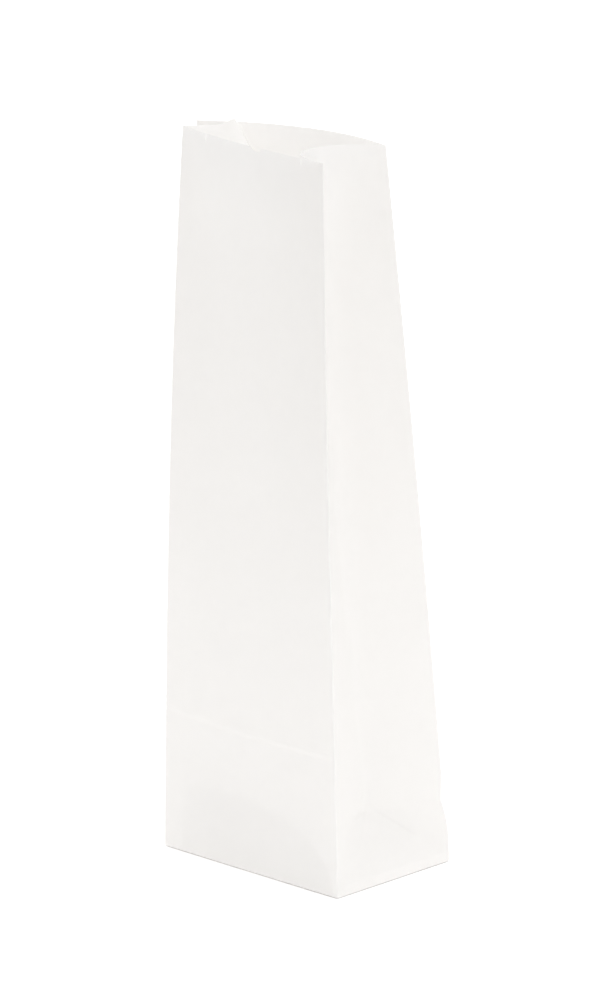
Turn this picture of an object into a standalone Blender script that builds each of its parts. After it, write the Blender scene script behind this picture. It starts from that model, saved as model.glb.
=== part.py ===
"""Small block-bottom paper bag, empty and standing open.

One sheet of paper is folded into a tube with a gusset down each side, its foot is folded and
pasted into a flat rectangle, and its mouth is cut straight, with a thumb notch and two slits in
the front panel. The front faces -Y, the gussets face -X and +X, and the origin is the middle of
the foot, on the surface that the bag stands on.

At every height the wall is a loop of four panels that keep their cut widths. The corners lean
in towards the mouth, so the front and back panels bow out and the gussets fold inwards.
"""
import math

import bmesh
import bpy
import numpy as np

MM = 0.001

# Cut sizes of the bag
WIDTH = 80 * MM
DEPTH = 54 * MM
HEIGHT = 243 * MM
WALL = 0.5 * MM

# How the front panel stands at the mouth: its middle moves, and it turns clockwise from above
FRONT_TURN = math.radians(-11.0)
FRONT_SHIFT = (-3.75 * MM, 5.55 * MM)
FRONT_SLACK = 0.0015

# How the two back corners stand at the mouth, how far they bow backwards on their way up to it,
# and how far the foot's folds pull them forwards
BACK_RIGHT_SHIFT = (-11.25 * MM, -20 * MM)
BACK_LEFT_SHIFT = (-6.75 * MM, -31 * MM)
BACK_BOW = 0.7 * MM
PINCH = -4.1 * MM
PINCH_LOW = 22 * MM
PINCH_HIGH = 32 * MM

# The gusset's diagonal folds run up from the foot's corners and meet at this height, and
# how softly its folds turn, at the foot and at the mouth
FOLDS_MEET = 24 * MM
FOLD_AT_FOOT = 1.2 * MM
FOLD_AT_MOUTH = 7 * MM

# From a height up the single fold parts into two again, and how far in they are at the mouth
RIGHT_OPENING = (150 * MM, 0.34)
LEFT_OPENING = (205 * MM, 0.42)

# Cuts in the front panel's top edge, each placed from the panel's middle
NOTCH_PLACE = 5.3 * MM
NOTCH_WIDTH = 7 * MM
NOTCH_FOOT = 4 * MM
NOTCH_DEPTH = 1.3 * MM
SLIT_PLACES = (-23.3 * MM, 28.5 * MM)
SLIT_WIDTH = 1 * MM
SLIT_DEPTH = 2.3 * MM
CUTTER_REACH = 4 * MM

# Mesh steps
PANEL_STEPS = 16
GUSSET_STEPS = 12
UPPER_ROWS = 20
PATH_SAMPLES = 240

PAPER_COLOUR = (0.90, 0.885, 0.86, 1.0)
PAPER_ROUGHNESS = 0.85


def ramp(value, start, end):
    """Goes from 0 at start to 1 at end, evenly, and stays there."""
    return min(max((value - start) / (end - start), 0.0), 1.0)


def front_corners(z):
    """The front panel's two corners: its middle drifts and the panel turns as it rises."""
    t = z / HEIGHT
    turn = FRONT_TURN * t ** 1.25
    middle = np.array([FRONT_SHIFT[0] * t ** 1.6, -DEPTH / 2 + FRONT_SHIFT[1] * t ** 2.8])
    half = WIDTH / 2 * (1 - FRONT_SLACK * ramp(t, 0, 0.1))
    along = half * np.array([math.cos(turn), math.sin(turn)])
    return middle - along, middle + along


def back_corner(z, side, shift):
    """A back corner: pulled forwards just above the foot, then bowed to its place at the mouth."""
    foot = np.array([side * WIDTH / 2, DEPTH / 2])
    pinched = foot + np.array([0, PINCH]) * ramp(z, 0, PINCH_LOW) ** 2.6
    mouth = foot + np.array(shift)
    t = ramp(z, PINCH_HIGH, HEIGHT)
    return pinched + (mouth - pinched) * t + np.array([0, BACK_BOW]) * math.sin(math.pi * t)


def swing_of_panel(s):
    """A bowed panel's tangent swings evenly from one end to the other."""
    return 1 - 2 * s


def swing_of_gusset(z, opens_at, mouth_fold):
    """How a gusset's tangent swings at height z, as a function of the place along it.

    It turns at two folds that lie evenly about its middle. They run up diagonally from the
    foot's corners and meet as one fold, and from the height opens_at they part again.
    """
    t = ramp(z, opens_at, HEIGHT)
    fold = ramp(z, 0, FOLDS_MEET) / 2 - (0.5 - mouth_fold) * t * t * (3 - 2 * t)
    soft = (FOLD_AT_FOOT + (FOLD_AT_MOUTH - FOLD_AT_FOOT) * z / HEIGHT) / DEPTH

    def swing(s):
        return -0.5 * (np.tanh((s - fold) / soft) + np.tanh((s - 1 + fold) / soft))

    return swing


def panel_curve(start, end, width, swing, steps, side):
    """Points of a panel that keeps its width between two corners that are closer than that.

    The tangent's angle from the chord is an opening angle times the swing along the panel, and
    the opening angle is found by halving until the ends meet. side is 1 to bow to the right of
    the way from start to end, and -1 to bow to its left.
    """
    chord = end - start
    length = float(np.linalg.norm(chord))
    s = (np.arange(PATH_SAMPLES) + 0.5) / PATH_SAMPLES
    bend = swing(s)
    low, high = 0.0, math.pi * 0.9
    for _ in range(50):
        angle = (low + high) / 2
        if np.cos(angle * bend).mean() * width > length:
            low = angle
        else:
            high = angle
    forward = np.concatenate([[0], np.cumsum(np.cos(low * bend))])
    across = np.concatenate([[0], np.cumsum(np.sin(low * bend))]) * width / PATH_SAMPLES
    forward *= length / forward[-1]
    across -= across[-1] * np.linspace(0, 1, PATH_SAMPLES + 1)
    direction = chord / length
    right = np.array([direction[1], -direction[0]])
    picks = np.linspace(0, PATH_SAMPLES, steps + 1).round().astype(int)[:-1]
    return start + forward[picks, None] * direction + side * across[picks, None] * right


def wall_loop(z):
    """The wall's outline at height z, once round: front, right gusset, back, left gusset."""
    front_left, front_right = front_corners(z)
    back_right = back_corner(z, 1, BACK_RIGHT_SHIFT)
    back_left = back_corner(z, -1, BACK_LEFT_SHIFT)
    right_swing = swing_of_gusset(z, *RIGHT_OPENING)
    left_swing = swing_of_gusset(z, *LEFT_OPENING)
    return np.vstack([
        panel_curve(front_left, front_right, WIDTH, swing_of_panel, PANEL_STEPS, 1),
        panel_curve(front_right, back_right, DEPTH, right_swing, GUSSET_STEPS, -1),
        panel_curve(back_right, back_left, WIDTH, swing_of_panel, PANEL_STEPS, 1),
        panel_curve(back_left, front_left, DEPTH, left_swing, GUSSET_STEPS, -1),
    ])


def row_heights():
    """Rows up the wall: at the foot they cross the grid on its diagonals, where the folds run."""
    lower = np.linspace(0, FOLDS_MEET, GUSSET_STEPS // 2 + 1)[:-1]
    upper = np.linspace(FOLDS_MEET, HEIGHT, UPPER_ROWS + 1)
    return np.concatenate([lower, upper])


def make_outer_skin():
    """The bag's outer face as one open sheet: the wall's rows, and the foot as one flat face."""
    heights = row_heights()
    loops = [wall_loop(z) for z in heights]
    count = len(loops[0])
    points = [(x, y, z) for loop, z in zip(loops, heights) for x, y in loop]
    faces = [tuple(reversed(range(count)))]
    for row in range(len(heights) - 1):
        low = row * count
        high = low + count
        for i in range(count):
            j = (i + 1) % count
            faces.append((low + i, low + j, high + j, high + i))
    mesh = bpy.data.meshes.new("paper_bag")
    mesh.from_pydata(points, [], faces)
    mesh.update()
    return mesh


def add_prism(work, centre, along, across, outline):
    """A closed prism: an outline in the panel's plane, carried through the panel both ways."""
    rings = []
    for side in (-1, 1):
        ring = []
        for offset, rise in outline:
            x, y = centre + along * offset + across * side * CUTTER_REACH
            ring.append(work.verts.new((x, y, HEIGHT + rise)))
        rings.append(ring)
    count = len(outline)
    work.faces.new(rings[0])
    work.faces.new(list(reversed(rings[1])))
    for i in range(count):
        j = (i + 1) % count
        work.faces.new((rings[0][j], rings[0][i], rings[1][i], rings[1][j]))


def make_mouth_cutter():
    """The thumb notch and the two slits, as closed prisms across the front panel's top edge."""
    loop = wall_loop(HEIGHT)
    step = WIDTH / PANEL_STEPS
    work = bmesh.new()
    cuts = [(place, SLIT_WIDTH, SLIT_WIDTH, SLIT_DEPTH) for place in SLIT_PLACES]
    cuts.append((NOTCH_PLACE, NOTCH_WIDTH, NOTCH_FOOT, NOTCH_DEPTH))
    for place, width, foot, depth in cuts:
        place_in_steps = (WIDTH / 2 + place) / step
        index = int(place_in_steps)
        along = (loop[index + 1] - loop[index]) / np.linalg.norm(loop[index + 1] - loop[index])
        centre = loop[index] + along * (place_in_steps - index) * step
        across = np.array([along[1], -along[0]])
        outline = [
            (-foot / 2, -depth),
            (foot / 2, -depth),
            (width / 2, depth),
            (-width / 2, depth),
        ]
        add_prism(work, centre, along, across, outline)
    bmesh.ops.recalc_face_normals(work, faces=work.faces)
    mesh = bpy.data.meshes.new("mouth_cutter")
    work.to_mesh(mesh)
    work.free()
    cutter = bpy.data.objects.new("mouth_cutter", mesh)
    cutter.hide_render = True
    cutter.display_type = "WIRE"
    return cutter


def make_paper_material():
    """Uncoated white kraft paper, faintly warm."""
    material = bpy.data.materials.new("paper")
    material.use_nodes = True
    shader = material.node_tree.nodes["Principled BSDF"]
    shader.inputs["Base Color"].default_value = PAPER_COLOUR
    shader.inputs["Roughness"].default_value = PAPER_ROUGHNESS
    shader.inputs["Metallic"].default_value = 0.0
    return material


def build():
    """The bag: its outer skin, thickened inwards, with the mouth's cuts taken out."""
    for item in list(bpy.data.objects):
        bpy.data.objects.remove(item, do_unlink=True)
    collection = bpy.context.scene.collection
    bag = bpy.data.objects.new("paper_bag", make_outer_skin())
    bag.data.materials.append(make_paper_material())
    collection.objects.link(bag)
    cutter = make_mouth_cutter()
    collection.objects.link(cutter)
    thicken = bag.modifiers.new("thicken", "SOLIDIFY")
    thicken.thickness = WALL
    thicken.offset = -1
    thicken.use_even_offset = True
    cut = bag.modifiers.new("mouth_cuts", "BOOLEAN")
    cut.operation = "DIFFERENCE"
    cut.solver = "EXACT"
    cut.object = cutter
    bag.data.shade_smooth()
    bag.data.set_sharp_from_angle(angle=math.radians(20))


build()
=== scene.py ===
"""A small white block-bottom paper bag, empty and standing open, on a pale floor.

The bag is one sheet of thin paper, folded and pasted. The sections follow the way it is made:
the sheet's folded wall with the seam that closes it down the back, the flaps that are folded
over at its foot, and then the floor, the lights and the camera.
"""
import math

import bpy
import mathutils
import numpy as np
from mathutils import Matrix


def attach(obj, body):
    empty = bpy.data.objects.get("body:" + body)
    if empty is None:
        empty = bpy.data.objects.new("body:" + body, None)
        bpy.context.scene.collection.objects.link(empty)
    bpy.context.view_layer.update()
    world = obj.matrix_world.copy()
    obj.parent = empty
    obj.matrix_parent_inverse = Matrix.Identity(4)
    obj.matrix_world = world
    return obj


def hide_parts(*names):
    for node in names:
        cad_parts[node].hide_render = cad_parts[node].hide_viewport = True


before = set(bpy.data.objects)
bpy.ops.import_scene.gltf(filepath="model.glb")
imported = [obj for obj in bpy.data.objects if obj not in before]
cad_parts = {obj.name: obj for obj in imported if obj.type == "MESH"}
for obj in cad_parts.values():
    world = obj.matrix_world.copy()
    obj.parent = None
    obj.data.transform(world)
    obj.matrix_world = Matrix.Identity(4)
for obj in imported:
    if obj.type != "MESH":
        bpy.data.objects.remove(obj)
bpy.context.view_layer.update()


# ---------------------------------------------------------------------------------------------
# The wall and foot: one tube of thin paper with a gusset folded down each side. Its four panels
# keep the widths they were cut to, so where the corners come closer the front and back panels
# bow out and the gussets fold inwards. The foot is creased square, and the mouth is cut across.
# ---------------------------------------------------------------------------------------------

MM = 0.001

WIDTH = 80 * MM
DEPTH = 54 * MM
HEIGHT = 243 * MM
PAPER = 0.14 * MM

# How the front panel stands at the mouth, and the powers of the height with which it gets there
FRONT_TURN = math.radians(-11.0)
FRONT_TURN_POWER = 1.25
FRONT_SHIFT = (-3.75 * MM, 5.55 * MM)
FRONT_SHIFT_POWERS = (1.6, 2.8)
FRONT_SLACK = 0.0015
FRONT_SLACK_FULL = 0.1

# How the back corners stand at the mouth, how they bow on the way, and the pinch above the foot
BACK_RIGHT_SHIFT = (-11.25 * MM, -20 * MM)
BACK_LEFT_SHIFT = (-6.75 * MM, -31 * MM)
BACK_BOW = 0.7 * MM
PINCH = -4.1 * MM
PINCH_POWER = 2.6
PINCH_LOW = 22 * MM
PINCH_HIGH = 32 * MM

# The gussets' diagonal folds: where they meet, and how softly they turn at foot and mouth
FOLDS_MEET = 24 * MM
FOLD_AT_FOOT = 1.0 * MM
FOLD_AT_MOUTH = 7 * MM

# From a height up each gusset's fold parts in two, and how far in those folds are at the mouth
RIGHT_OPENING = (150 * MM, 0.34)
LEFT_OPENING = (205 * MM, 0.42)

# How round the four long creases and the foot's edges are
CREASE_ROUND = 0.3 * MM
FOOT_ROUND = 0.35 * MM

# The sheet's foot stands on the flaps pasted under it
FOOT_RISE = 0.26 * MM

# Cuts in the front panel's top edge, each placed from the panel's left corner
NOTCH_CORNERS = (42.4 * MM, 44.7 * MM, 47.9 * MM, 48.2 * MM)
NOTCH_DEPTH = 1.15 * MM
SLITS = ((16.7 * MM, 0.4 * MM), (68.5 * MM, 0.3 * MM))
SLIT_DEPTH = 2.2 * MM
CUT_REACH = 6 * MM

# Columns stand this far, and this close, either side of a cut edge, so that it is crisp
CUT_MARGIN = 0.15 * MM
HAIR = 0.012 * MM

# The back seam: the sheet's two long edges lap and are glued
LAP_PLACE = WIDTH + DEPTH + 26 * MM
LAP_WIDTH = 11 * MM
LAP_RUN_OUT = 5 * MM
LAP_FROM = 3 * MM

# The way round the sheet, and the step along it at which its bends are worked out
LOOP = 2 * (WIDTH + DEPTH)
STEP = 0.1 * MM

# A row's opening angle is looked for up to the widest one, by so many halvings
WIDEST_OPENING = math.pi * 0.9
HALVINGS = 40


def ramp(value, start, end):
    """Goes from 0 at start to 1 at end, evenly, and stays there."""
    return np.clip((value - start) / (end - start), 0, 1)


def ease(value, start, end):
    """Goes from 0 at start to 1 at end, softly at both: 3 t^2 - 2 t^3 of the even ramp t."""
    t = ramp(value, start, end)
    return t * t * (3 - 2 * t)


def bell(value, middle, width):
    """A bell-shaped curve, 1 at its middle: e to minus the square of (value - middle) / width."""
    return np.exp(-((value - middle) / width) ** 2)


def front_corners(z):
    """The front panel's corners at heights z: its middle drifts and it turns as it rises."""
    t = z / HEIGHT
    turn = FRONT_TURN * t ** FRONT_TURN_POWER
    aside = FRONT_SHIFT[0] * t ** FRONT_SHIFT_POWERS[0]
    inwards = FRONT_SHIFT[1] * t ** FRONT_SHIFT_POWERS[1]
    middle = np.stack([aside, inwards - DEPTH / 2], axis=1)
    half = WIDTH / 2 * (1 - FRONT_SLACK * ramp(t, 0, FRONT_SLACK_FULL))
    along = half[:, None] * np.stack([np.cos(turn), np.sin(turn)], axis=1)
    return middle - along, middle + along


def back_corner(z, side, shift):
    """A back corner: pulled forwards just above the foot, then bowed to its place at the mouth."""
    foot = np.array([side * WIDTH / 2, DEPTH / 2])
    pinched = foot + np.array([0, PINCH]) * ramp(z, 0, PINCH_LOW)[:, None] ** PINCH_POWER
    mouth = foot + np.array(shift)
    t = ramp(z, PINCH_HIGH, HEIGHT)[:, None]
    return pinched + (mouth - pinched) * t + np.array([0, BACK_BOW]) * np.sin(math.pi * t)


def swing_of_panel(s, z):
    """A bowed panel's tangent swings evenly from one end to the other."""
    return (1 - 2 * s) * np.ones_like(z)[:, None]


def swing_of_gusset(opens_at, mouth_fold):
    """How a gusset's tangent swings: it turns at two folds that lie evenly about its middle.

    From the foot's corners they run up diagonally and meet in the middle, as one fold. From the
    height opens_at they part again, and at the mouth each is mouth_fold of the depth in.
    """
    def swing(s, z):
        parted = (0.5 - mouth_fold) * ease(z, opens_at, HEIGHT)
        fold = (ramp(z, 0, FOLDS_MEET) / 2 - parted)[:, None]
        soft = (FOLD_AT_FOOT + (FOLD_AT_MOUTH - FOLD_AT_FOOT) * z[:, None] / HEIGHT) / DEPTH
        return -0.5 * (np.tanh((s - fold) / soft) + np.tanh((s - 1 + fold) / soft))

    return swing


def panel_rows(start, end, width, swing, side, z):
    """A panel's rows of points at heights z, a point every STEP, without the last of each row.

    Each row keeps the panel's width between corners that are closer than that: its tangent's
    angle from the chord is an opening angle times the swing, and the opening angle is found by
    halving until the row's ends meet its corners. side is 1 to bow to the right of the way from
    start to end, and -1 to bow to its left.
    """
    count = int(round(width / STEP))
    s = (np.arange(count) + 0.5) / count
    bend = swing(s[None, :], z)
    chord = end - start
    length = np.linalg.norm(chord, axis=1)
    low = np.zeros_like(z)
    high = np.full_like(z, WIDEST_OPENING)
    for _ in range(HALVINGS):
        angle = (low + high) / 2
        longer = np.cos(angle[:, None] * bend).mean(axis=1) * width > length
        low = np.where(longer, angle, low)
        high = np.where(longer, high, angle)
    forward = np.cumsum(np.cos(low[:, None] * bend), axis=1)
    across = np.cumsum(np.sin(low[:, None] * bend), axis=1) * width / count
    forward = forward * (length / forward[:, -1])[:, None]
    across = across - across[:, -1:] * (s + 0.5 / count)
    corner = np.zeros((len(z), 1))
    forward = np.hstack([corner, forward[:, :-1]])[..., None]
    across = side * np.hstack([corner, across[:, :-1]])[..., None]
    direction = (chord / length[:, None])[:, None]
    right = np.stack([direction[..., 1], -direction[..., 0]], axis=-1)
    return start[:, None] + forward * direction + across * right


def wall_rows(z):
    """The wall's outlines at heights z: front, right gusset, back, left gusset.

    A running average with a bell-shaped weight rounds the four creases, as thin paper's are. It
    is worked out as a product with the bell's own waves.
    """
    front_left, front_right = front_corners(z)
    back_right = back_corner(z, 1, BACK_RIGHT_SHIFT)
    back_left = back_corner(z, -1, BACK_LEFT_SHIFT)
    rows = np.concatenate([
        panel_rows(front_left, front_right, WIDTH, swing_of_panel, 1, z),
        panel_rows(front_right, back_right, DEPTH, swing_of_gusset(*RIGHT_OPENING), -1, z),
        panel_rows(back_right, back_left, WIDTH, swing_of_panel, 1, z),
        panel_rows(back_left, front_left, DEPTH, swing_of_gusset(*LEFT_OPENING), -1, z),
    ], axis=1)
    waves = np.fft.fft(rows, axis=1)
    weight = np.exp(-2 * (math.pi * CREASE_ROUND * np.fft.fftfreq(rows.shape[1], STEP)) ** 2)
    return np.fft.ifft(waves * weight[None, :, None], axis=1).real


def crowded(start, width, count, crowd):
    """Places from start across width, closest at both ends: t - crowd sin(2 pi t) / (2 pi)."""
    t = np.linspace(0, 1, count + 1)
    return start + width * (t - crowd * np.sin(2 * math.pi * t) / (2 * math.pi))


def cut_edges():
    """Columns either side of each edge of the slits, and at each corner of the notch."""
    slits = [place + side * width / 2 for place, width in SLITS for side in (-1, 1)]
    near = (-CUT_MARGIN, -HAIR, HAIR, CUT_MARGIN)
    return np.array([u + step for u in slits for step in near] + list(NOTCH_CORNERS))


def cut_depth(u):
    """How deep the front panel's top edge is cut at u: the slits are square, the notch slopes."""
    depth = np.interp(u, NOTCH_CORNERS, (0, NOTCH_DEPTH, NOTCH_DEPTH, 0))
    for place, width in SLITS:
        depth = np.where(np.abs(u - place) < width / 2, SLIT_DEPTH, depth)
    return depth


def lap_edges():
    """Columns either side of the lap's two edges, and a few over its run out."""
    near = (-CUT_MARGIN, -HAIR, HAIR, CUT_MARGIN)
    edges = [LAP_PLACE + far + step for far in (0, LAP_WIDTH) for step in near]
    run_out = LAP_PLACE + np.linspace(LAP_WIDTH, LAP_WIDTH + LAP_RUN_OUT, RUN_OUT_COLUMNS + 1)[1:]
    return np.append(edges, run_out)


# The grid's columns, panel by panel: where it starts, its width, its columns and their crowding.
# Places that agree to so many digits of a metre are one column, and the column that would close
# the loop is the first one again, so it is left out.

PANEL_COLUMNS = (
    (0, WIDTH, 74, 0.8),
    (WIDTH, DEPTH, 84, 0.45),
    (WIDTH + DEPTH, WIDTH, 50, 0.85),
    (2 * WIDTH + DEPTH, DEPTH, 66, 0.6),
)
RUN_OUT_COLUMNS = 6
SAME_PLACE_DIGITS = 9

panel_places = [crowded(*panel) for panel in PANEL_COLUMNS]
all_places = np.concatenate(panel_places + [cut_edges(), lap_edges()])
columns = np.unique(np.round(all_places, SAME_PLACE_DIGITS))[:-1]

# The grid's rows: flat rings under the foot, a quarter turn round its edge, and then the wall in
# stretches, each given by the height it ends at and its rows, closest at the pressed crease.

RING_INSETS = (4 * MM, 1.6 * MM)
ROUND_STEPS = 4
WALL_ROWS = ((27 * MM, 49), (46 * MM, 15), (50 * MM, 14), (232 * MM, 61), (HEIGHT, 11))

turns = np.linspace(0, math.pi / 2, ROUND_STEPS + 1)
ring_insets = np.append(RING_INSETS, FOOT_ROUND * (1 - np.sin(turns)))
ring_heights = np.append(np.zeros(len(RING_INSETS)), FOOT_ROUND * (1 - np.cos(turns)))
stretch_starts = [FOOT_ROUND] + [top for top, _ in WALL_ROWS]
wall_heights = np.concatenate([
    np.linspace(start, top, rows + 1)[1:] for start, (top, rows) in zip(stretch_starts, WALL_ROWS)
])
row_heights = np.append(ring_heights, wall_heights)
row_insets = np.append(ring_insets, np.zeros_like(wall_heights))


def lay_out_sheet():
    """The sheet's grid, (row, column, xyz): the rows of rings under the foot, then up the wall."""
    fine = wall_rows(row_heights)
    fine = np.concatenate([fine, fine[:, :1]], axis=1)
    place = columns / STEP
    index = np.floor(place).astype(int)
    part = (place - index)[None, :, None]
    flat = fine[:, index] * (1 - part) + fine[:, index + 1] * part
    keep = 1 - row_insets[:, None] / (np.array([WIDTH, DEPTH]) / 2)
    flat = flat * keep[:, None, :]
    height = np.broadcast_to(row_heights[:, None, None], flat.shape[:2] + (1,))
    return np.concatenate([flat, height], axis=2)


def along_rows(points):
    """The unit step from each point to the next round the tube."""
    step = np.roll(points, -1, axis=1) - np.roll(points, 1, axis=1)
    return step / np.linalg.norm(step, axis=2, keepdims=True)


def up_columns(points):
    """The unit step from each point to the one above it."""
    step = np.gradient(points, axis=0)
    return step / np.linalg.norm(step, axis=2, keepdims=True)


def outward(points):
    """The sheet's outward normals: the way round crossed with the way up."""
    normal = np.cross(along_rows(points), up_columns(points))
    return normal / np.linalg.norm(normal, axis=2, keepdims=True)


sheet = lay_out_sheet()
U, Z = np.meshgrid(columns, row_heights)


# Unevenness: the soft waves of thin paper that has been folded flat and opened again. Each wave
# is a cosine across the sheet in its own direction, and all of them fade out at the creases.

SWAY_WAVES = 18
SWAY_DEPTH = 0.09 * MM
SWAY_LONG = 95 * MM
SWAY_SHORT = 22 * MM
SWAY_SEED = 11
SWAY_HELD_AT_CREASE = 9 * MM
SWAY_HELD_AT_FOOT = 12 * MM


def crease_distance(u):
    """How far along the sheet the nearest of the four long creases is."""
    creases = np.array([0, WIDTH, WIDTH + DEPTH, 2 * WIDTH + DEPTH, LOOP])
    return np.abs(u[..., None] - creases).min(axis=-1)


def sway(u, z):
    """The height of the paper's soft waves: a sum of cosines, held down at creases and foot."""
    draw = np.random.default_rng(SWAY_SEED)
    total = np.zeros_like(u)
    for _ in range(SWAY_WAVES):
        length = draw.uniform(SWAY_SHORT, SWAY_LONG)
        way = draw.uniform(0, math.pi)
        turn = draw.uniform(0, 2 * math.pi)
        rounds = 2 * math.pi * (u * math.cos(way) + z * math.sin(way)) / length
        total += np.cos(rounds + turn) * (length / SWAY_LONG)
    held = ease(crease_distance(u), 0, SWAY_HELD_AT_CREASE) * ease(z, 0, SWAY_HELD_AT_FOOT)
    return SWAY_DEPTH * total * held


# The front panel's low swelling: an arch that reaches 26 mm up from the foot, where the panel
# was pressed against the folded foot while the bag lay flat. Below its ridge the paper slopes
# back to the foot, and above it the swelling dies away.

ARCH_TOP = 26 * MM
ARCH_PLACE = 40 * MM
ARCH_LEFT = 31 * MM
ARCH_RIGHT = 38 * MM
ARCH_SQUARENESS = 5
ARCH_LEAST = 0.5 * MM
ARCH_DEPTH = 0.5 * MM
ARCH_FADE = 14 * MM
ARCH_SOFT_END = (2 * MM, 26 * MM)


def arch_height(u):
    """The arch's ridge: half a round ellipse to its right, a squarer one to its left."""
    right = np.clip((u - ARCH_PLACE) / ARCH_RIGHT, 0, 1)
    left = np.clip((ARCH_PLACE - u) / ARCH_LEFT, 0, 1)
    squarer = (1 - left ** ARCH_SQUARENESS) ** (1 / ARCH_SQUARENESS)
    return ARCH_TOP * np.where(u > ARCH_PLACE, (1 - right ** 2) ** 0.5, squarer)


def swelling(u, z):
    """The front's swelling: rises evenly from the foot to the ridge, then dies away upwards."""
    ridge = np.maximum(arch_height(u), ARCH_LEAST)
    below = np.clip(z / ridge, 0, 1)
    above = np.exp(-np.clip(z - ridge, 0, None) / ARCH_FADE)
    soft_end = ease(u, *ARCH_SOFT_END) * (u < WIDTH)
    return ARCH_DEPTH * (ridge / ARCH_TOP) ** 2 * np.where(z < ridge, below, above) * soft_end


# The crease across the front panel, pressed in where the foot was folded flat against it.

CREASE_HEIGHT = 48 * MM
CREASE_WIDTH = 0.65 * MM
CREASE_DEPTH = 0.11 * MM
CREASE_FADES = (6 * MM, 5 * MM)
CREASE_WANDER = 0.35 * MM
CREASE_WANDER_LENGTHS = (9 * MM, 23 * MM)


def pressed_crease(u, z):
    """A fine ridge across the front: a bell-shaped rise that wanders a little up and down.

    Its height wanders as the product of two sines along it, and it fades out at both ends.
    """
    left_fade, right_fade = CREASE_FADES
    ends = ease(u, 0, left_fade) * (1 - ease(u, WIDTH - right_fade, WIDTH))
    short, long = CREASE_WANDER_LENGTHS
    wander = CREASE_WANDER * np.sin(u / short) * np.sin(u / long + 1)
    return CREASE_DEPTH * bell(z, CREASE_HEIGHT + wander, CREASE_WIDTH) * ends


# The left gusset's fold gives way at the mouth: over the last few millimetres its nose is pushed
# back and up, so its halves run straighter to their corners.

NOSE_REACH = 11 * MM
NOSE_POWER = 1.3
NOSE_TIP = (-31.5 * MM, -1.0 * MM)
NOSE_RISE = 2.0 * MM
NOSE_RISE_WIDTH = 4.5 * MM
NOSE_FOLD = 2 * WIDTH + DEPTH + DEPTH / 2
HALF_BELLY = (1.6 * MM, -0.6 * MM)


def give_way(points, u, z):
    """The sheet with its left gusset drawn towards two straight halves, fully so at the rim.

    Each half runs evenly from its corner to the nose's tip, with a small sine belly in Y, and
    the tip is lifted by a bell across the fold.
    """
    s = np.clip((u - 2 * WIDTH - DEPTH) / DEPTH, 0, 1)
    rise = ramp(z, HEIGHT - NOSE_REACH, HEIGHT) ** NOSE_POWER * (s > 0)
    start = points[:, np.searchsorted(columns, 2 * WIDTH + DEPTH), :2][:, None]
    end = points[:, 0, :2][:, None]
    back_half = (s < 0.5)[..., None]
    part = (1 - np.abs(2 * s - 1))[..., None]
    straight = np.where(back_half, start, end) * (1 - part) + np.array(NOSE_TIP) * part
    belly = np.where(s < 0.5, *HALF_BELLY) * np.sin(math.pi * part[..., 0])
    straight[..., 1] += belly
    lift = NOSE_RISE * rise * bell(u, NOSE_FOLD, NOSE_RISE_WIDTH)
    drawn = points[..., :2] + (straight - points[..., :2]) * rise[..., None]
    return np.concatenate([drawn, (points[..., 2] + lift)[..., None]], axis=2)


# The right gusset's rear fold at the foot is a fine groove near its top, where the paper was
# pinched. Where the groove starts, is full, fades and ends is given as shares of the depth.

GROOVE_DEPTH = 0.16 * MM
GROOVE_WIDTH = 0.55 * MM
GROOVE_PLACES = (0.53, 0.58, 0.68, 0.8)


def foot_fold_height(u):
    """How high the gussets' diagonal folds are at u: they rise evenly to half the depth."""
    right = (u - WIDTH) / DEPTH
    left = (u - 2 * WIDTH - DEPTH) / DEPTH
    return 2 * FOLDS_MEET * np.maximum(np.clip(np.minimum(right, 1 - right), 0, 1),
                                       np.clip(np.minimum(left, 1 - left), 0, 1))


def pinched_groove(u, z):
    """From 0 to 1: a bell-shaped line along the right gusset's rear fold, fading at both ends."""
    s = (u - WIDTH) / DEPTH
    first, full, fading, last = GROOVE_PLACES
    along = ease(s, first, full) * (1 - ease(s, fading, last))
    return along * bell(z, foot_fold_height(u), GROOVE_WIDTH)


relief = sway(U, Z) + swelling(U, Z) + pressed_crease(U, Z) - GROOVE_DEPTH * pinched_groove(U, Z)
sheet = give_way(sheet + relief[..., None] * outward(sheet), U, Z)

# The cuts at the mouth push the rows below them together, and the flaps lift the sheet's foot.

lowered = cut_depth(U) * ramp(Z, HEIGHT - CUT_REACH, HEIGHT)
sheet = sheet - up_columns(sheet) * lowered[..., None]
sheet[..., 2] += FOOT_RISE * (1 - ramp(Z, 0, HEIGHT))


# The lap down the back: its outer edge is a step of one paper outside, and its inner edge one
# inside, after which the outer paper runs back in to where the sheet was.

past_lap = 1 - ease(U, LAP_PLACE + LAP_WIDTH, LAP_PLACE + LAP_WIDTH + LAP_RUN_OUT)
above_foot = ease(Z, FOOT_ROUND, LAP_FROM)
outer_lap = PAPER * past_lap * (U > LAP_PLACE) * above_foot
inner_lap = outer_lap * (U > LAP_PLACE + LAP_WIDTH)
normals = outward(sheet)
lining = sheet + (inner_lap - PAPER)[..., None] * normals
sheet = sheet + outer_lap[..., None] * normals


def grid_faces(rows, cols, first, closed, flipped):
    """The four corners of each cell of a grid whose points are numbered row by row from first."""
    row = np.arange(rows - 1)[:, None]
    col = np.arange(cols if closed else cols - 1)[None, :]
    a = first + row * cols + col
    b = first + row * cols + (col + 1) % cols
    faces = np.stack([a, b, b + cols, a + cols], axis=-1).reshape(-1, 4)
    return faces[:, ::-1] if flipped else faces


def strip_faces(outer, inner):
    """Faces that join two equal lines of points, given by their numbers."""
    return np.stack([outer[:-1], outer[1:], inner[1:], inner[:-1]], axis=-1)


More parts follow.
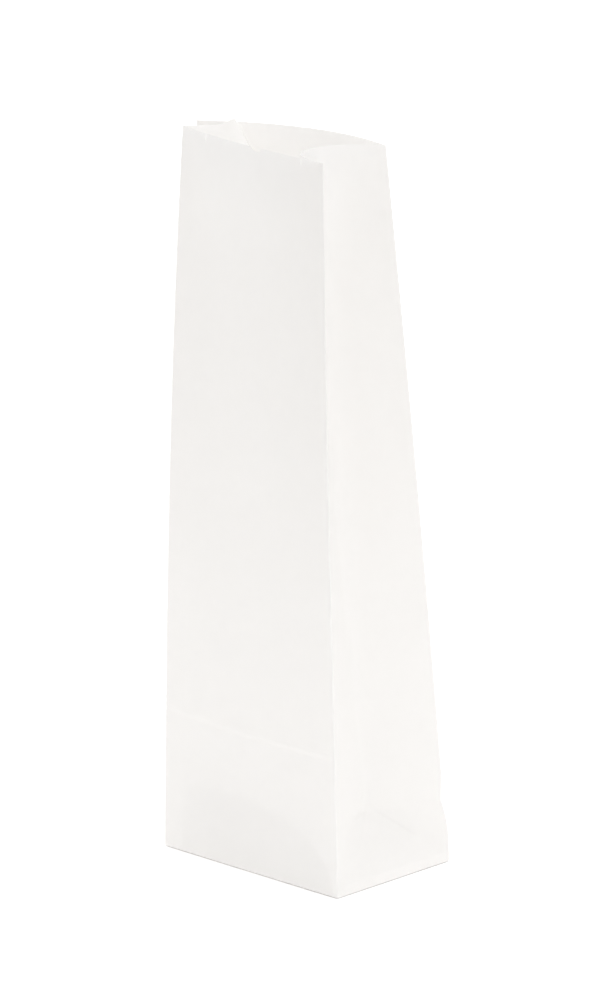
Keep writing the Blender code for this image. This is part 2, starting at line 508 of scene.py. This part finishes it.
def add_piece(name, points, faces, material, sharp_angle):
    """A mesh piece at the origin, smooth but for edges sharper than the angle given."""
    mesh = bpy.data.meshes.new(name)
    mesh.from_pydata(points.tolist(), [], faces)
    mesh.materials.append(material)
    mesh.update()
    mesh.shade_smooth()
    mesh.set_sharp_from_angle(angle=math.radians(sharp_angle))
    piece = bpy.data.objects.new(name, mesh)
    bpy.context.scene.collection.objects.link(piece)
    return piece


WALL_SHARP_ANGLE = 50


def add_tube(name, outer, inner, material):
    """A closed shell of an outer and an inner tube: joined at the rim, with a floor in each."""
    rows, cols = outer.shape[:2]
    count = rows * cols
    rim = np.append(np.arange(cols), 0) + count - cols
    faces = np.concatenate([
        grid_faces(rows, cols, 0, True, False),
        grid_faces(rows, cols, count, True, True),
        strip_faces(rim, rim + count),
    ]).tolist()
    faces.append(list(range(cols - 1, -1, -1)))
    faces.append(list(range(count, count + cols)))
    points = np.concatenate([outer.reshape(-1, 3), inner.reshape(-1, 3)])
    return add_piece(name, points, faces, material, WALL_SHARP_ANGLE)


# The paper: white machine-made kraft, faintly warm, with a fine vertical grain, a cloudy
# formation and a few fibres. Some of the light that falls on it passes through.

PAPER_COLOUR = (0.9675, 0.963, 0.958)
PAPER_THROUGH = (0.9765, 0.969, 0.959)
THROUGH_SHARE = 0.5
PAPER_ROUGHNESS = 0.72
PAPER_SPECULAR = 0.25
PAPER_CLOUD = 0.05
PAPER_RELIEF = 0.02 * MM
RELIEF_STRENGTH = 0.5
CLOUD_SCALE = 260.0
FIBRE_SCALE = 2600.0
FIBRES_DRAWN_OUT = (1, 1, 0.35)


def add_node(tree, kind, **inputs):
    """A new shader node with some of its inputs set, their names' spaces written as _."""
    node = tree.nodes.new(kind)
    for key, value in inputs.items():
        node.inputs[key.replace("_", " ")].default_value = value
    return node


def make_grain_group():
    """Paper grain: a cloudy shade about 1, and a relief of fibres drawn out up the sheet.

    The shade is 1 plus the cloud amount times the cloud noise less its mean of a half.
    """
    group = bpy.data.node_groups.new("paper_grain", "ShaderNodeTree")
    face = group.interface
    face.new_socket("Cloud", in_out="INPUT", socket_type="NodeSocketFloat")
    face.new_socket("Shade", in_out="OUTPUT", socket_type="NodeSocketFloat")
    face.new_socket("Relief", in_out="OUTPUT", socket_type="NodeSocketFloat")
    start = group.nodes.new("NodeGroupInput")
    end = group.nodes.new("NodeGroupOutput")
    place = group.nodes.new("ShaderNodeTexCoord")
    drawn = group.nodes.new("ShaderNodeMapping")
    drawn.inputs["Scale"].default_value = FIBRES_DRAWN_OUT
    clouds = add_node(group, "ShaderNodeTexNoise", Scale=CLOUD_SCALE, Detail=3.0, Roughness=0.6)
    fibres = add_node(group, "ShaderNodeTexNoise", Scale=FIBRE_SCALE, Detail=3.0, Roughness=0.65)
    group.links.new(place.outputs["Object"], drawn.inputs["Vector"])
    group.links.new(place.outputs["Object"], clouds.inputs["Vector"])
    group.links.new(drawn.outputs["Vector"], fibres.inputs["Vector"])
    centred = group.nodes.new("ShaderNodeMath")
    centred.operation = "SUBTRACT"
    centred.inputs[1].default_value = 0.5
    scaled = group.nodes.new("ShaderNodeMath")
    scaled.operation = "MULTIPLY_ADD"
    scaled.inputs[2].default_value = 1.0
    group.links.new(clouds.outputs["Fac"], centred.inputs[0])
    group.links.new(centred.outputs[0], scaled.inputs[0])
    group.links.new(start.outputs["Cloud"], scaled.inputs[1])
    group.links.new(scaled.outputs[0], end.inputs["Shade"])
    group.links.new(fibres.outputs["Fac"], end.inputs["Relief"])
    return group


grain_group = make_grain_group()


def make_paper(name, colour, cloud, relief_depth):
    """Paper whose colour is scaled by its grain's shade less the painted shading, which is
    painted shade less painted light.

    It is an even mix of a surface that scatters light back and one that lets it through. A
    piece that has no painted shading of its own reads it as none.
    """
    material = bpy.data.materials.new(name)
    material.use_nodes = True
    tree = material.node_tree
    shader = tree.nodes["Principled BSDF"]
    shader.inputs["Roughness"].default_value = PAPER_ROUGHNESS
    shader.inputs["Specular IOR Level"].default_value = PAPER_SPECULAR
    grain = tree.nodes.new("ShaderNodeGroup")
    grain.node_tree = grain_group
    grain.inputs["Cloud"].default_value = cloud
    painted_shading = tree.nodes.new("ShaderNodeAttribute")
    painted_shading.attribute_name = "painted_shading"
    shade = tree.nodes.new("ShaderNodeMath")
    shade.operation = "SUBTRACT"
    tree.links.new(grain.outputs["Shade"], shade.inputs[0])
    tree.links.new(painted_shading.outputs["Fac"], shade.inputs[1])
    tinted = tree.nodes.new("ShaderNodeVectorMath")
    tinted.operation = "SCALE"
    tinted.inputs[0].default_value = colour
    tree.links.new(shade.outputs[0], tinted.inputs["Scale"])
    tree.links.new(tinted.outputs["Vector"], shader.inputs["Base Color"])
    bump = tree.nodes.new("ShaderNodeBump")
    bump.inputs["Strength"].default_value = RELIEF_STRENGTH
    bump.inputs["Distance"].default_value = relief_depth
    tree.links.new(grain.outputs["Relief"], bump.inputs["Height"])
    tree.links.new(bump.outputs["Normal"], shader.inputs["Normal"])
    through = tree.nodes.new("ShaderNodeBsdfTranslucent")
    through.inputs["Color"].default_value = PAPER_THROUGH + (1,)
    mixed = tree.nodes.new("ShaderNodeMixShader")
    mixed.inputs["Fac"].default_value = THROUGH_SHARE
    tree.links.new(shader.outputs[0], mixed.inputs[1])
    tree.links.new(through.outputs[0], mixed.inputs[2])
    tree.links.new(mixed.outputs[0], tree.nodes["Material Output"].inputs["Surface"])
    return material


paper = make_paper("paper", PAPER_COLOUR, PAPER_CLOUD, PAPER_RELIEF)

# Painted shade in the paper's colour, where shade falls: under the front's arch, at the front's
# rim, beside its right crease, in the groove, in the right gusset's hollow, and on the lap, where
# the double paper lets less light through.

ARCH_PAINTED_SHADE = 0.042
ARCH_SHADE_SOFT = 2.5 * MM
ARCH_SHADE_SOFT_END = (-6 * MM, 28 * MM)
RIM_PAINTED_SHADE = 0.045
RIM_FROM = 220 * MM
RIM_FADE = (56 * MM, 74 * MM)
RIM_FADE_SHARE = 0.8
SIDE_PAINTED_SHADE = 0.007
SIDE_ACROSS = (40 * MM, 74 * MM)
SIDE_UP = (90 * MM, 150 * MM)
GROOVE_PAINTED_SHADE = 0.03
HOLLOW_PAINTED_SHADE = 0.07
HOLLOW_WIDTH = 11 * MM
HOLLOW_FROM = 222 * MM
LAP_PAINTED_SHADE = 0.005

# What lightens it: a lighter line along the crease across the front, a painted highlight on the
# left gusset's nose, and painted light at the slits' edges and on the smooth triangles that the
# gussets' folds make at the foot.

CREASE_LIGHT = 0.024
NOSE_PAINTED_HIGHLIGHT = 0.015
NOSE_WIDTH = 4.5 * MM
NOSE_FROM = 200 * MM
SLIT_PAINTED_LIGHT = 0.028
SLIT_LIGHT_WIDTH = 0.6 * MM
SLIT_FULL_SHARE = 0.7
FACET_PAINTED_LIGHT = 0.02
FACET_SOFT = 1.2 * MM


def painted_shades(u, z, slit):
    """The sum of the painted shades, each an eased or bell-shaped mask over its place.

    The rim's painted shade leaves out the slits' edges, where light is painted instead, and
    which are given as a mask.
    """
    arch = arch_height(u)
    under = (1 - ease(z, arch - ARCH_SHADE_SOFT, arch + ARCH_SHADE_SOFT)) * ease(u, *ARCH_SHADE_SOFT_END)
    rim = ramp(z, RIM_FROM, HEIGHT) * (1 - RIM_FADE_SHARE * ease(u, *RIM_FADE)) * (1 - slit)
    side = ease(u, *SIDE_ACROSS) * ease(z, *SIDE_UP)
    on_front = (ARCH_PAINTED_SHADE * under + RIM_PAINTED_SHADE * rim + SIDE_PAINTED_SHADE * side) * (u < WIDTH)
    hollow = bell(u, WIDTH + DEPTH / 2, HOLLOW_WIDTH) * ease(z, HOLLOW_FROM, HEIGHT)
    lap = (u > LAP_PLACE) * (u < LAP_PLACE + LAP_WIDTH)
    elsewhere = GROOVE_PAINTED_SHADE * pinched_groove(u, z) + HOLLOW_PAINTED_SHADE * hollow + LAP_PAINTED_SHADE * lap
    return on_front + elsewhere


def painted_shading_at(u, z):
    """How much darker the paper's colour is painted than plain: painted shade less painted light.
    """
    slit = sum(bell(u, place, SLIT_LIGHT_WIDTH) for place, _ in SLITS)
    slit = slit * ramp(z, HEIGHT - SLIT_DEPTH, HEIGHT - SLIT_FULL_SHARE * SLIT_DEPTH)
    line = pressed_crease(u, z) / CREASE_DEPTH
    nose = bell(u, NOSE_FOLD, NOSE_WIDTH) * ease(z, NOSE_FROM, HEIGHT)
    facet = ease(foot_fold_height(u) - z, -FACET_SOFT, FACET_SOFT)
    light = CREASE_LIGHT * line + NOSE_PAINTED_HIGHLIGHT * nose + FACET_PAINTED_LIGHT * facet + SLIT_PAINTED_LIGHT * slit
    return painted_shades(u, z, slit) - light


# Both sides of the paper show at the mouth. Painted light lightens the inside of the back panel,
# away from its right corner, and the outside of the left gusset; painted shade darkens the left
# gusset's inside.

INSIDE_PAINTED_LIGHT = 0.024
INSIDE_LIGHT_START = 22 * MM
INSIDE_PAINTED_SHADE = 0.018
OUTSIDE_PAINTED_LIGHT = 0.014
MOUTH_FROM = 195 * MM
MOUTH_FULL = 232 * MM

at_mouth = ease(Z, MOUTH_FROM, MOUTH_FULL)
on_left = (U > 2 * WIDTH + DEPTH) * at_mouth
on_back = ease(U, WIDTH + DEPTH, WIDTH + DEPTH + INSIDE_LIGHT_START) * at_mouth - on_left
outside = painted_shading_at(U, Z) - OUTSIDE_PAINTED_LIGHT * on_left
inside = painted_shading_at(U, Z) - INSIDE_PAINTED_LIGHT * on_back + INSIDE_PAINTED_SHADE * on_left

wall = add_tube("bag_wall", sheet, lining, paper)
# The wall's painted shading, outside then inside: painted shade less painted light in the paper's
# colour
painted_values = wall.data.attributes.new("painted_shading", "FLOAT", "POINT")
painted_values.data.foreach_set("value", np.stack([outside, inside]).ravel().astype(np.float32))
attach(wall, "root")
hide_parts("paper_bag")


# ---------------------------------------------------------------------------------------------
# The foot's flaps: under the foot the front and back flaps fold in with 45 degree sides and
# lap along the middle, and inside it the two gussets' ends lie over them as triangles.
# ---------------------------------------------------------------------------------------------

FLAP_LAP = 8 * MM
FLAP_MARGIN = 0.9 * MM
FLAP_STEPS = 40
FLAP_PAPER = 0.08 * MM
FLAP_LOW = 0.02 * MM
FLAP_HIGH = 0.12 * MM
FLAP_WAVE = 0.005 * MM
FLAP_WAVE_LENGTHS = (5 * MM, 4 * MM)
FLAP_SHARP_ANGLE = 40

PASTED_COLOUR = (0.94, 0.93, 0.915)
PASTED_CLOUD = 0.12
PASTED_RELIEF = 0.05 * MM

pasted_paper = make_paper("pasted_paper", PASTED_COLOUR, PASTED_CLOUD, PASTED_RELIEF)


def add_plate(name, upper, lower, material):
    """A closed thin plate between two equal open grids, joined round all four edges."""
    rows, cols = upper.shape[:2]
    count = rows * cols
    first_row = np.arange(cols)
    last_row = first_row + count - cols
    first_column = np.arange(rows) * cols
    last_column = first_column + cols - 1
    edge = np.concatenate([first_row, last_column[1:], last_row[-2::-1], first_column[-2::-1]])
    faces = np.concatenate([
        grid_faces(rows, cols, 0, False, False),
        grid_faces(rows, cols, count, False, True),
        strip_faces(edge, edge + count)[:, ::-1],
    ]).tolist()
    points = np.concatenate([upper.reshape(-1, 3), lower.reshape(-1, 3)])
    return add_piece(name, points, faces, material, FLAP_SHARP_ANGLE)


def foot_flap(side):
    """A flap under the foot, from the front edge for side -1 and from the back edge for side 1.

    It is as wide as the foot at its fold, narrows at 45 degrees down to the middle, and goes on
    straight past it by the lap. The front flap lies lower, under the back one. A product of two
    sines makes it a little uneven.
    """
    reach = np.linspace(FLAP_MARGIN, DEPTH / 2 + FLAP_LAP, FLAP_STEPS)[:, None]
    half = WIDTH / 2 - np.minimum(reach, DEPTH / 2)
    x = half * np.linspace(-1, 1, FLAP_STEPS)[None, :]
    y = np.broadcast_to(side * (DEPTH / 2 - reach), x.shape)
    across, along = FLAP_WAVE_LENGTHS
    waves = FLAP_WAVE * np.sin(x / across) * np.sin(y / along)
    level = FLAP_LOW if side < 0 else FLAP_HIGH
    return np.stack([x, y, level + waves], axis=2)


for side, name in ((1, "back_flap"), (-1, "front_flap")):
    under = foot_flap(side)
    over = under + np.array([0, 0, FLAP_PAPER])
    if side > 0:
        under, over = under[:, ::-1], over[:, ::-1]
    flap = add_plate(name, over, under, pasted_paper)
    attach(flap, "root")
    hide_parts("paper_bag")


END_MARGIN = 1.2 * MM
CORNER_MARGIN = 1.4 * MM
END_GAP = 0.03 * MM
EDGE_LIFT = 0.25 * MM
EDGE_LIFT_REACH = 4 * MM


def end_flap(side):
    """A gusset's end lying inside the foot: a triangle from the end's corners to its middle.

    Its two free edges lift off the foot, as the square of how near the edge is.
    """
    t = np.linspace(-1, 1, FLAP_STEPS)[:, None]
    y = t * (DEPTH / 2 - CORNER_MARGIN)
    edge = WIDTH / 2 - DEPTH / 2 + np.abs(y)
    x = edge + (WIDTH / 2 - END_MARGIN - edge) * np.linspace(0, 1, FLAP_STEPS // 2)[None, :]
    y = np.broadcast_to(y, x.shape)
    lift = EDGE_LIFT * (1 - ramp(x - edge, 0, EDGE_LIFT_REACH)) ** 2
    return np.stack([side * x, y, FOOT_RISE + PAPER + END_GAP + lift], axis=2)


for side, name in ((-1, "left_end_flap"), (1, "right_end_flap")):
    under = end_flap(side)
    over = under + np.array([0, 0, PAPER])
    if side < 0:
        under, over = under[::-1], over[::-1]
    flap = add_plate(name, over, under, paper)
    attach(flap, "root")
    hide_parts("paper_bag")


# ---------------------------------------------------------------------------------------------
# The studio: white card, lit from below round the bag, under an even sky. There are softboxes
# above, behind and to either side, and a small low one in front.
# ---------------------------------------------------------------------------------------------

# The card is a wide square with a rectangle in it, just within the foot, that doesn't glow
SWEEP_SIDE = 12.0
UNDER_FOOT_MARGIN = 0.2 * MM
SWEEP_SIZES = (
    (SWEEP_SIDE, SWEEP_SIDE),
    (WIDTH - UNDER_FOOT_MARGIN, DEPTH - UNDER_FOOT_MARGIN),
)
SWEEP_COLOUR = (0.86, 0.86, 0.86, 1)
SWEEP_ROUGHNESS = 0.9

# How strongly the card glows near the bag, and the distances over which that fades out where it
# lights the bag, and over which it rises to the far glow where it is seen
TABLE_GLOW = 0.331
TABLE_REACH = (0.26, 0.34)
FAR_GLOW = 0.9
FAR_REACH = (0.3, 1.2)

# The sky's strength as it is seen, and as it lights the bag
SKY_SEEN = 1.0
SKY_LIGHT = 0.845

# Each softbox's name, place in metres, width and power in watts
SOFTBOXES = (
    ("right_softbox", (1.2, 0.2, 1.2), 0.8, 4.8),
    ("back_softbox", (-0.4, 1.4, 0.3), 0.6, 2.2),
    ("left_softbox", (-1.5, 0.1, 0.6), 1.0, 4.15),
    ("top_softbox", (0, 0, 1.5), 1.6, 1.4),
    ("low_softbox", (-0.15, -0.75, 0.06), 0.12, 0.22),
)
SOFTBOX_AIM = (0, 0, 0.12)

# How many surfaces light is followed over, so that it isn't lost among the layers of paper
LIGHT_BOUNCES = 16
PAPER_BOUNCES = 12


def add_glow(tree, distance, reach, near, far):
    """A white glow whose strength goes from near to far between two distances from the bag."""
    level = tree.nodes.new("ShaderNodeMapRange")
    level.inputs["From Min"].default_value, level.inputs["From Max"].default_value = reach
    level.inputs["To Min"].default_value = near
    level.inputs["To Max"].default_value = far
    tree.links.new(distance, level.inputs["Value"])
    glow = tree.nodes.new("ShaderNodeEmission")
    tree.links.new(level.outputs["Result"], glow.inputs["Strength"])
    return glow


def make_card_material():
    """Plain white card, as it is under the bag's foot."""
    material = bpy.data.materials.new("white_card")
    material.use_nodes = True
    card = material.node_tree.nodes["Principled BSDF"]
    card.inputs["Base Color"].default_value = SWEEP_COLOUR
    card.inputs["Roughness"].default_value = SWEEP_ROUGHNESS
    card.inputs["Specular IOR Level"].default_value = 0.0
    return material


def make_sweep_material():
    """White card that glows round the bag, and that the camera sees overexposed further away."""
    material = make_card_material()
    material.name = "white_sweep"
    tree = material.node_tree
    card = tree.nodes["Principled BSDF"]
    place = tree.nodes.new("ShaderNodeTexCoord")
    distance = tree.nodes.new("ShaderNodeVectorMath")
    distance.operation = "LENGTH"
    tree.links.new(place.outputs["Object"], distance.inputs[0])
    path = tree.nodes.new("ShaderNodeLightPath")
    pick = tree.nodes.new("ShaderNodeMixShader")
    tree.links.new(path.outputs["Is Camera Ray"], pick.inputs["Fac"])
    for slot, reach, far in ((1, TABLE_REACH, 0.0), (2, FAR_REACH, FAR_GLOW)):
        glow = add_glow(tree, distance.outputs["Value"], reach, TABLE_GLOW, far)
        both = tree.nodes.new("ShaderNodeAddShader")
        tree.links.new(card.outputs[0], both.inputs[0])
        tree.links.new(glow.outputs[0], both.inputs[1])
        tree.links.new(both.outputs[0], pick.inputs[slot])
    tree.links.new(pick.outputs[0], tree.nodes["Material Output"].inputs["Surface"])
    return material


corner_signs = ((-1, -1), (1, -1), (1, 1), (-1, 1))
sweep_corners = [(x * w / 2, y * d / 2, 0) for w, d in SWEEP_SIZES for x, y in corner_signs]
sweep_faces = [(i, (i + 1) % 4, (i + 1) % 4 + 4, i + 4) for i in range(4)]
sweep_mesh = bpy.data.meshes.new("white_sweep")
sweep_mesh.from_pydata(sweep_corners, [], sweep_faces + [(4, 5, 6, 7)])
sweep_mesh.materials.append(make_sweep_material())
sweep_mesh.materials.append(make_card_material())
sweep_mesh.polygons[4].material_index = 1
sweep = bpy.data.objects.new("white_sweep", sweep_mesh)
bpy.context.scene.collection.objects.link(sweep)


def make_sky():
    """An even white world: one brightness as a backdrop, and a lower one as light on the bag."""
    world = bpy.data.worlds.new("studio")
    world.use_nodes = True
    tree = world.node_tree
    light = tree.nodes["Background"]
    light.inputs["Color"].default_value = (1, 1, 1, 1)
    light.inputs["Strength"].default_value = SKY_LIGHT
    seen = tree.nodes.new("ShaderNodeBackground")
    seen.inputs["Color"].default_value = (1, 1, 1, 1)
    seen.inputs["Strength"].default_value = SKY_SEEN
    path = tree.nodes.new("ShaderNodeLightPath")
    pick = tree.nodes.new("ShaderNodeMixShader")
    tree.links.new(path.outputs["Is Camera Ray"], pick.inputs["Fac"])
    tree.links.new(light.outputs[0], pick.inputs[1])
    tree.links.new(seen.outputs[0], pick.inputs[2])
    tree.links.new(pick.outputs[0], tree.nodes["World Output"].inputs["Surface"])
    return world


bpy.context.scene.world = make_sky()

for name, place, size, watts in SOFTBOXES:
    light = bpy.data.lights.new(name, "AREA")
    light.shape = "SQUARE"
    light.size = size
    light.energy = watts
    softbox = bpy.data.objects.new(name, light)
    softbox.location = place
    way = mathutils.Vector(SOFTBOX_AIM) - mathutils.Vector(place)
    softbox.rotation_euler = way.to_track_quat("-Z", "Y").to_euler()
    softbox.visible_camera = False
    bpy.context.scene.collection.objects.link(softbox)

scene = bpy.context.scene
scene.view_settings.view_transform = "Standard"
scene.cycles.max_bounces = LIGHT_BOUNCES
scene.cycles.diffuse_bounces = PAPER_BOUNCES


# ---------------------------------------------------------------------------------------------
# The camera: a long lens to the right of the front, looking a little down.
# ---------------------------------------------------------------------------------------------

CAMERA_AZIMUTH = math.radians(43.905)
CAMERA_ELEVATION = math.radians(14.601)
CAMERA_DISTANCE = 1.8
CAMERA_SIDE = -2.12 * MM
CAMERA_RISE = 117.88 * MM
CAMERA_LENS = 193.98
CAMERA_SENSOR = 36.0
CAMERA_REACH = 100

back = mathutils.Vector((
    math.sin(CAMERA_AZIMUTH) * math.cos(CAMERA_ELEVATION),
    -math.cos(CAMERA_AZIMUTH) * math.cos(CAMERA_ELEVATION),
    math.sin(CAMERA_ELEVATION),
))
right = mathutils.Vector((math.cos(CAMERA_AZIMUTH), math.sin(CAMERA_AZIMUTH), 0))
up = back.cross(right)
camera_data = bpy.data.cameras.new("camera")
camera_data.lens = CAMERA_LENS
camera_data.sensor_width = CAMERA_SENSOR
camera_data.sensor_fit = "AUTO"
camera_data.clip_end = CAMERA_REACH
camera = bpy.data.objects.new("camera", camera_data)
camera.location = back * CAMERA_DISTANCE + right * CAMERA_SIDE + up * CAMERA_RISE
camera.rotation_euler = mathutils.Matrix((right, up, back)).transposed().to_euler()
scene.collection.objects.link(camera)
scene.camera = camera
